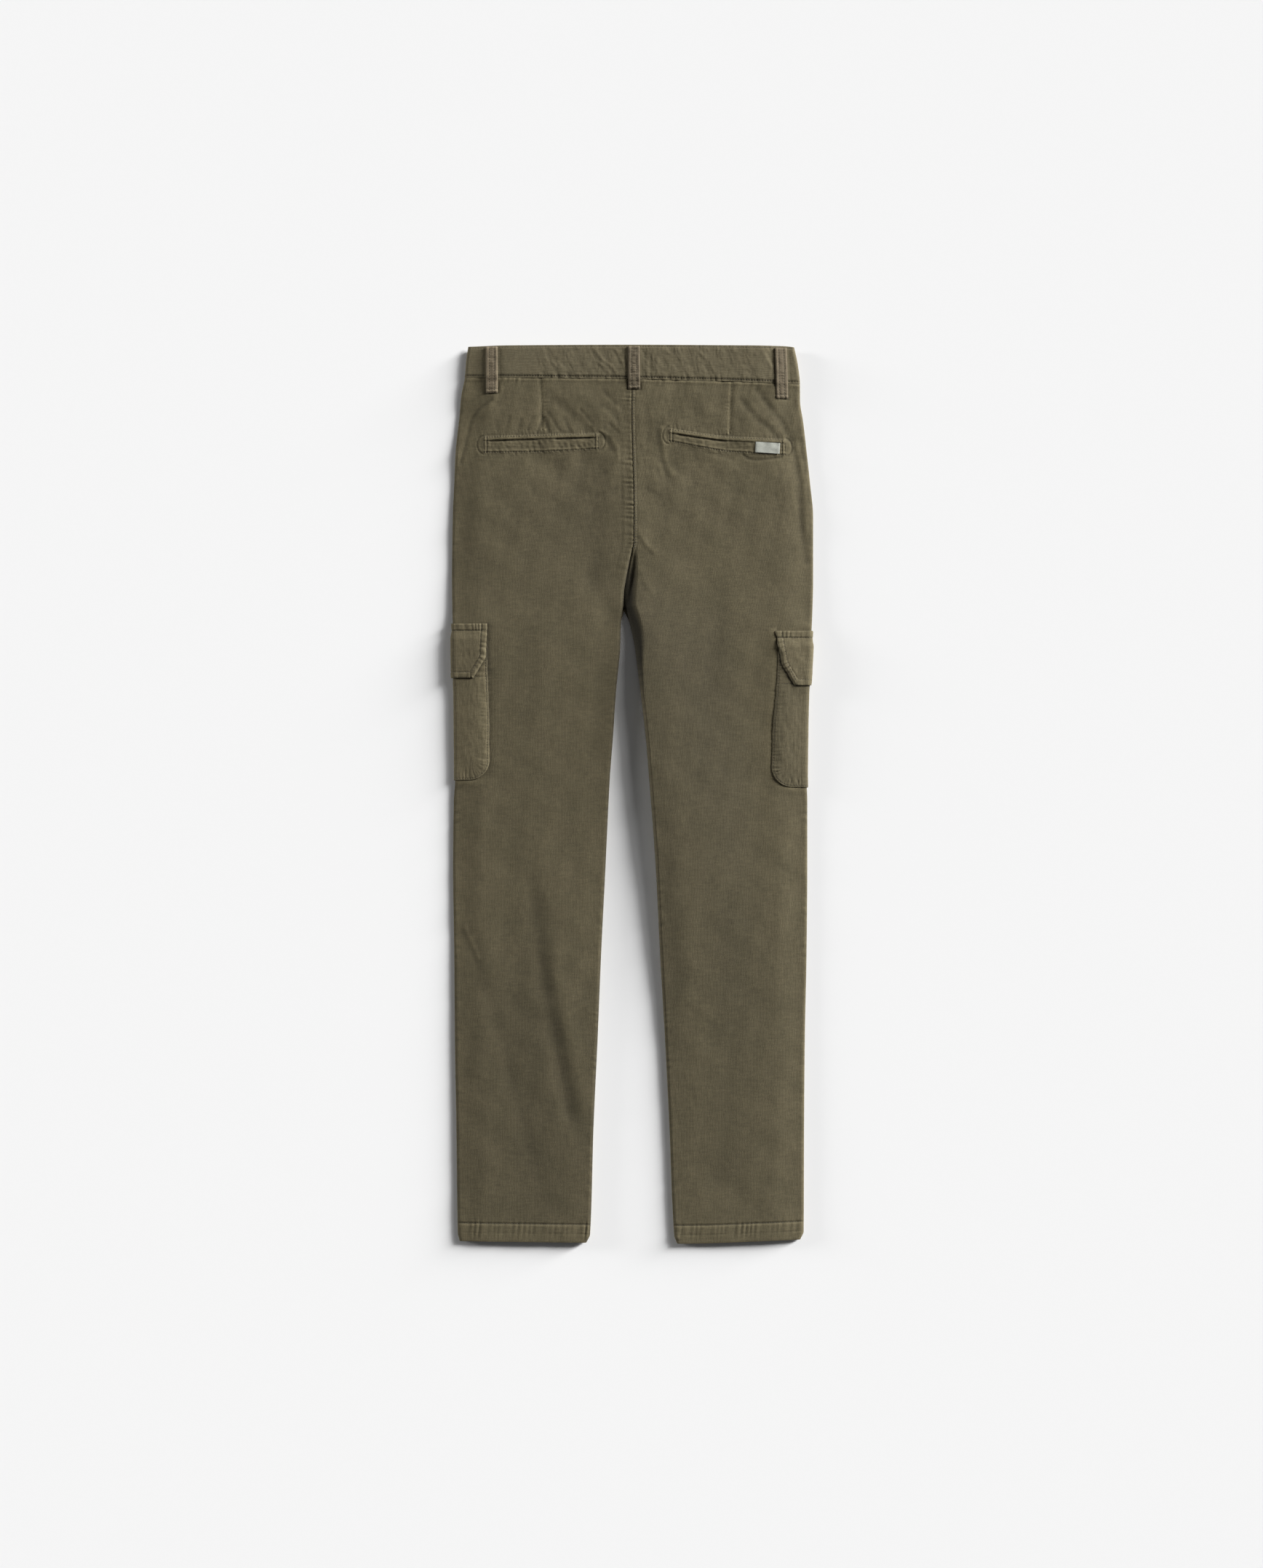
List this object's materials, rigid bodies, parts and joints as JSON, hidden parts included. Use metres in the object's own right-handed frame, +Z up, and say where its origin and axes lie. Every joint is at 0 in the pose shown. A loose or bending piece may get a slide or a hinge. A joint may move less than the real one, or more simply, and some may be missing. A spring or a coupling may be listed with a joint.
{
  "type": "cargo trousers laid flat",
  "caption": "Slim corduroy cargo trousers laid flat on their front, with welt back pockets, side cargo pockets with flaps, belt loops and a fly with a button",
  "frame": {"origin": "centre of the trousers' own box, on the surface that they lie on", "axes": "+Z up, away from the surface and out of the back side; +Y from the hems to the waist; +X to the wearer's right leg"},
  "size_m": [0.3498, 0.865, 0.0129],
  "materials": {
    "corduroy": "fine-wale cotton corduroy, matt with a soft pile sheen",
    "label_cloth": "plain woven tape, matt",
    "button": "satin horn-coloured plastic"
  },
  "bodies": {
    "root": {"back_panel_left": "corduroy", "back_panel_right": "corduroy", "front_panel_left": "corduroy", "front_panel_right": "corduroy", "waistband_back": "corduroy", "waistband_front_left": "corduroy", "waistband_front_right": "corduroy", "cargo_pouch_left": "corduroy", "cargo_pouch_right": "corduroy", "cargo_flap_left": "corduroy", "cargo_flap_right": "corduroy", "back_welt_left": "corduroy", "back_welt_right": "corduroy", "back_label": "label_cloth", "belt_loop_back_left": "corduroy", "belt_loop_back_centre": "corduroy", "belt_loop_back_right": "corduroy", "belt_loop_front_left": "corduroy", "belt_loop_front_right": "corduroy", "fly": "corduroy", "waist_button": "button"}
  },
  "joints": []
}
